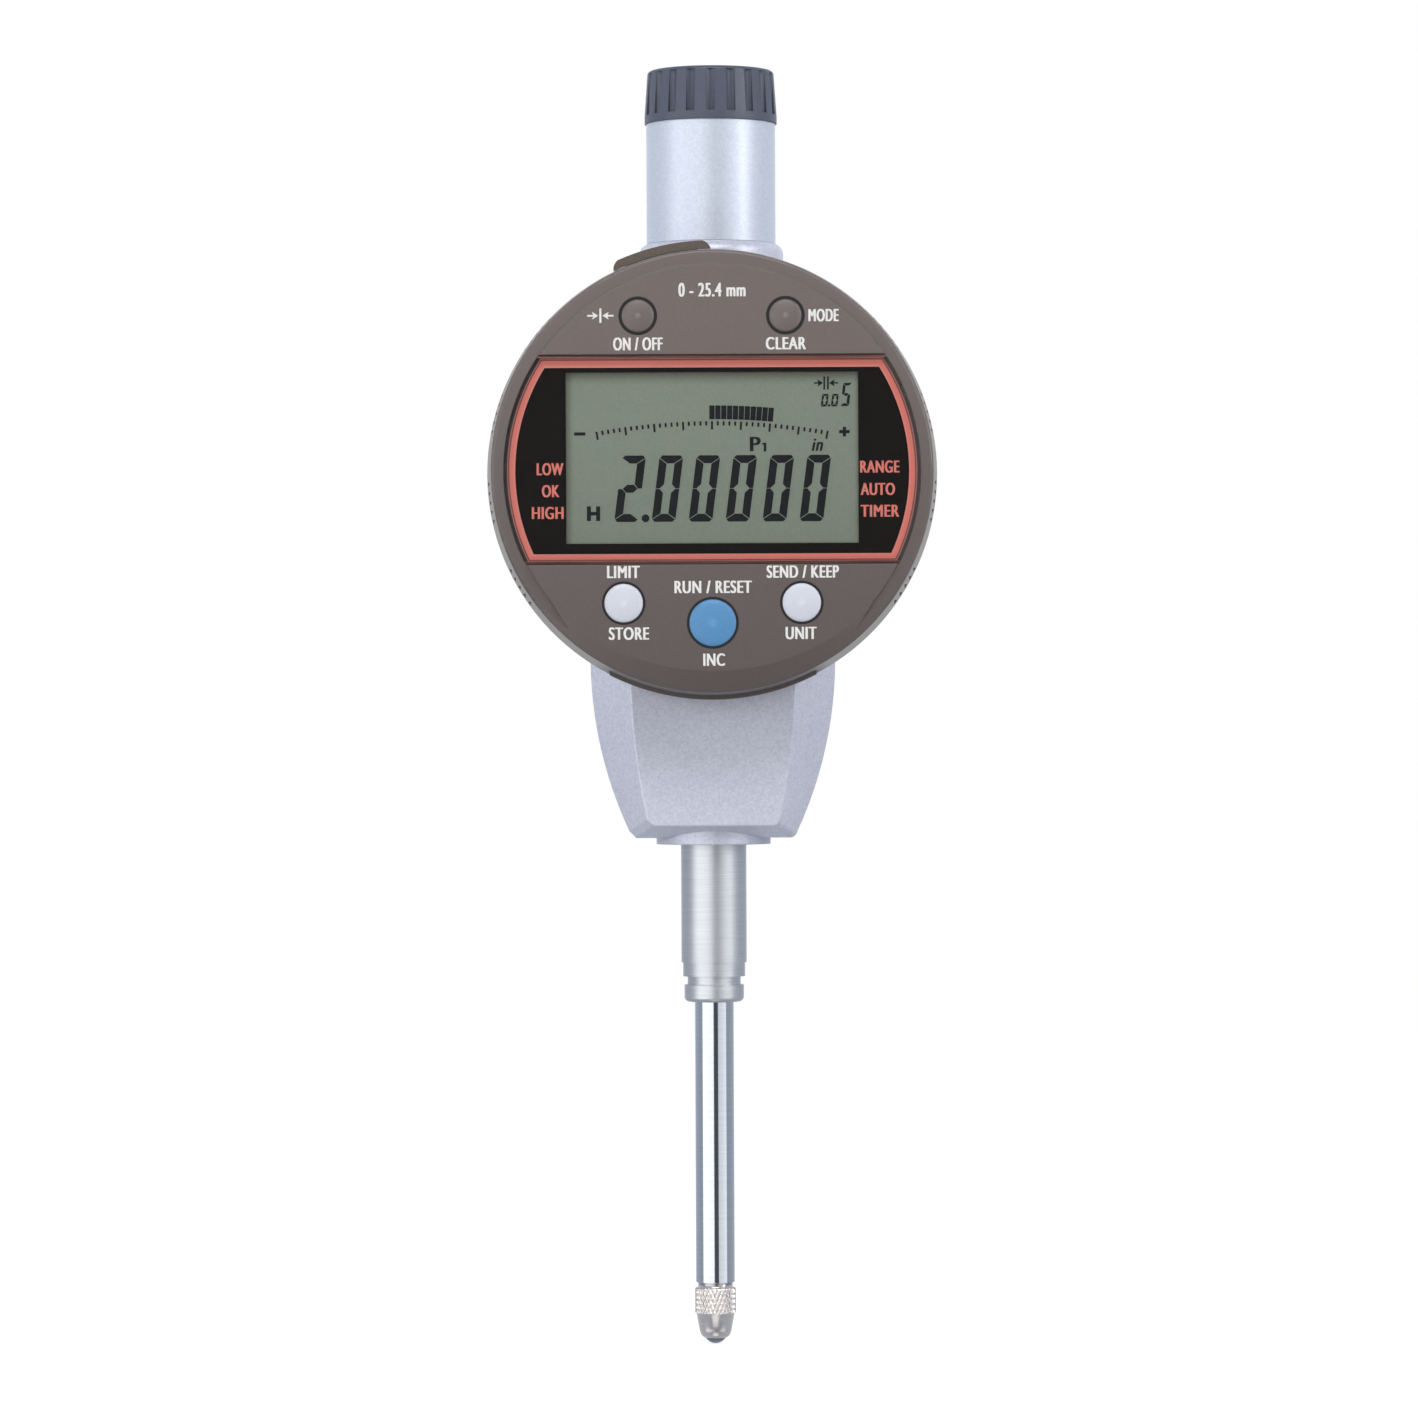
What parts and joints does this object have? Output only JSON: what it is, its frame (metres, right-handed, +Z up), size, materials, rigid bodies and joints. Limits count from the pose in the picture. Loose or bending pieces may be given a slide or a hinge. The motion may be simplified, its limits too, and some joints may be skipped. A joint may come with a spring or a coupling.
{
  "type": "digital indicator",
  "caption": "Plunger-type digital indicator with a round turning display, a slim clamping stem below, a lug back and a capped tube above.",
  "frame": {"origin": "on the spindle axis at the middle of the stem's clamp length", "axes": "+Z up along the spindle, away from the contact point; the display faces -Y; +X to the reader's right"},
  "size_m": [0.0542, 0.0469, 0.1559],
  "materials": {
    "case_grey": "fine matt paint on a die casting",
    "tube_metal": "satin",
    "cap_plastic": "satin moulded",
    "steel": "ground",
    "carbide": "polished",
    "bronze": "turned",
    "aluminium": "milled",
    "rubber": "moulded",
    "scale_glass": "etched scale",
    "board": "solder mask",
    "ribbon": "polyimide film",
    "bezel_plastic": "fine satin moulded",
    "window": "polished, bevelled",
    "band_print": "printed film",
    "mask_print": "black print",
    "lcd": "liquid crystal glass",
    "dark_key": "moulded",
    "light_key": "moulded",
    "blue_key": "moulded"
  },
  "bodies": {
    "case": {"main_case": "case_grey", "back_cover": "case_grey", "back_screws": "steel", "stem": "steel", "dust_wiper": "rubber", "lower_bush": "bronze", "stem_bush": "bronze", "upper_bush": "bronze", "bumper": "rubber", "top_tube": "tube_metal", "guide_bracket": "aluminium", "bracket_screws": "steel", "guide_rail": "steel", "spring_post": "steel", "return_spring": "steel", "detector_board": "board", "detector_screws": "steel", "ribbon_cable": "ribbon", "friction_washer": "steel"},
    "spindle": {"spindle": "steel", "contact_point": "steel", "contact_ball": "carbide", "scale_carrier": "aluminium", "clamp_screws": "steel", "encoder_scale": "scale_glass", "guide_pin": "steel"},
    "cap_seal": {"cap_seal": "rubber"},
    "cap": {"top_cap": "cap_plastic"},
    "display": {"display_rear_cover": "bezel_plastic", "display_screws": "steel", "hub": "aluminium", "retaining_ring": "steel", "turn_stop_pin": "steel", "bezel": "bezel_plastic", "cover_seal": "rubber", "window_lens": "window", "colour_band": "band_print", "window_mask": "mask_print", "lcd_panel": "lcd", "lcd_frame": "mask_print", "contact_strips": "rubber", "main_board": "board", "upper_key_pad": "rubber", "lower_key_pad": "rubber", "battery_springs": "bronze", "port_socket": "mask_print"},
    "power_key": {"power_key": "dark_key"},
    "menu_key": {"menu_key": "dark_key"},
    "preset_key": {"preset_key": "light_key"},
    "hold_key": {"hold_key": "light_key"},
    "zero_key": {"zero_key": "blue_key"},
    "battery": {"battery_tray": "bezel_plastic", "coin_cell": "steel"},
    "port_cover": {"port_cover": "rubber"}
  },
  "joints": [
    {"name": "spindle_slide", "type": "slide", "parent": "case", "child": "spindle", "axis": [0, 0, 1], "range_m": [0, 0.0254], "stiffness_N_per_m": 31, "springref_m": -0.032, "deforming": ["return_spring"]},
    {"name": "cap_lift", "type": "slide", "parent": "case", "child": "cap_seal", "axis": [0, 0, 1], "range_m": [0, 0.00225]},
    {"name": "cap_turn", "type": "hinge", "parent": "cap_seal", "child": "cap", "pos_m": [0, 0, 0.098], "axis": [0, 0, 1], "range_deg": [0, 1080]},
    {"name": "display_turn", "type": "hinge", "parent": "case", "child": "display", "pos_m": [0, -0.009, 0.05207], "axis": [0, -1, 0], "range_deg": [-165, 165]},
    {"name": "power_key_press", "type": "slide", "parent": "display", "child": "power_key", "axis": [0, 1, 0], "range_m": [0, 0.0006], "stiffness_N_per_m": 600, "springref_m": -0.0004},
    {"name": "menu_key_press", "type": "slide", "parent": "display", "child": "menu_key", "axis": [0, 1, 0], "range_m": [0, 0.0006], "stiffness_N_per_m": 600, "springref_m": -0.0004},
    {"name": "preset_key_press", "type": "slide", "parent": "display", "child": "preset_key", "axis": [0, 1, 0], "range_m": [0, 0.0006], "stiffness_N_per_m": 600, "springref_m": -0.0004},
    {"name": "hold_key_press", "type": "slide", "parent": "display", "child": "hold_key", "axis": [0, 1, 0], "range_m": [0, 0.0006], "stiffness_N_per_m": 600, "springref_m": -0.0004},
    {"name": "zero_key_press", "type": "slide", "parent": "display", "child": "zero_key", "axis": [0, 1, 0], "range_m": [0, 0.0006], "stiffness_N_per_m": 600, "springref_m": -0.0004},
    {"name": "battery_slide", "type": "slide", "parent": "display", "child": "battery", "axis": [0, 0, -1], "range_m": [0, 0.022]},
    {"name": "port_cover_pull", "type": "slide", "parent": "display", "child": "port_cover", "axis": [-0.225, 0, 0.9744], "range_m": [0, 0.005]}
  ],
  "couplings": [
    {"joint": "cap_turn", "follows": "cap_lift", "rad_per_m": 8377.6}
  ]
}
